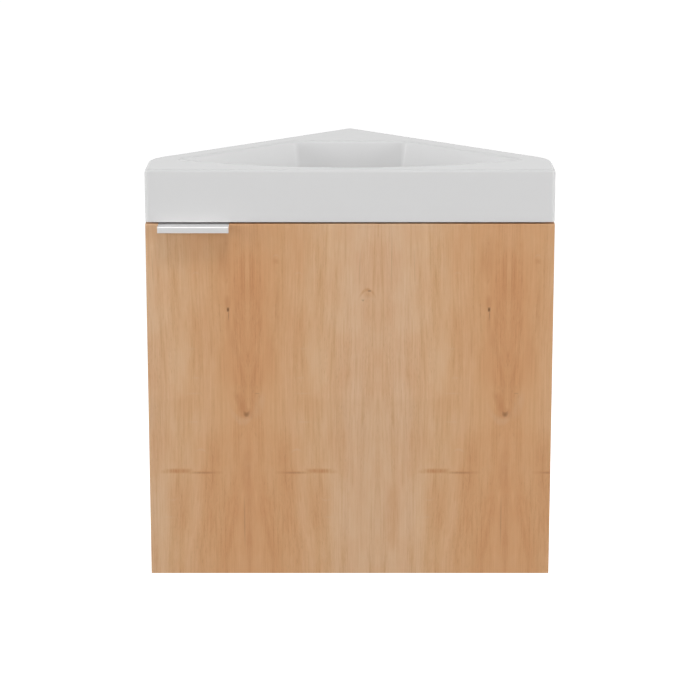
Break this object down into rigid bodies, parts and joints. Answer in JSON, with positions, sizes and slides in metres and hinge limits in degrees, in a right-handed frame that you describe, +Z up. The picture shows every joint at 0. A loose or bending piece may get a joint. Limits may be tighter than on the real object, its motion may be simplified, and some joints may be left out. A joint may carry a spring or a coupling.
{
  "type": "corner vanity unit",
  "caption": "Wall-hung corner cabinet with a full-overlay hinged door, a metal edge pull, a shelf and a moulded corner basin with its waste.",
  "frame": {"origin": "on the line where the two room walls meet, level with the cabinet's underside", "axes": "+Z up; the door and the basin's front face -Y; the two room walls run from the origin at 45 degrees, towards -Y with +X and towards -Y with -X"},
  "size_m": [0.5, 0.3537, 0.5145],
  "materials": {
    "basin": "smooth satin white gel coat over cast mineral",
    "oak": "light oak decor with a satin sealed surface",
    "beech": "plain turned dowel",
    "satin_aluminium": "fine satin anodised",
    "nickel": "nickel-plated pressed steel",
    "brass_nickel": "nickel-plated brass",
    "chrome": "polished chrome plate",
    "zinc": "bright zinc plate",
    "rubber": "black rubber",
    "clear_bumper": "translucent soft buffer"
  },
  "bodies": {
    "root": {"basin": "basin", "waste_flange": "chrome", "waste_body": "brass_nickel", "waste_nut": "brass_nickel", "waste_top_seal": "rubber", "waste_bottom_seal": "rubber", "left_side_panel": "oak", "right_side_panel": "oak", "left_wall_panel": "oak", "right_wall_panel": "oak", "bottom_panel": "oak", "front_top_rail": "oak", "shelf": "oak", "shelf_pins": "zinc", "carcass_screws": "zinc", "corner_dowels": "beech", "hinge_arms": "nickel", "hinge_plates": "nickel", "hinge_plate_screws": "zinc", "hinge_arm_screws": "zinc"},
    "door": {"door_panel": "oak", "handle": "satin_aluminium", "handle_screws": "zinc", "door_bumpers": "clear_bumper", "hinge_cups": "nickel", "hinge_cup_screws": "zinc", "hinge_pins": "zinc"},
    "plug": {"waste_plug": "chrome"}
  },
  "joints": [
    {"name": "door_hinge", "type": "hinge", "parent": "root", "child": "door", "pos_m": [0.243, -0.3287, 0.206], "axis": [0, 0, 1], "range_deg": [0, 95]},
    {"name": "plug_slide", "type": "slide", "parent": "root", "child": "plug", "axis": [0, 0, 1], "range_m": [0, 0.007]}
  ]
}
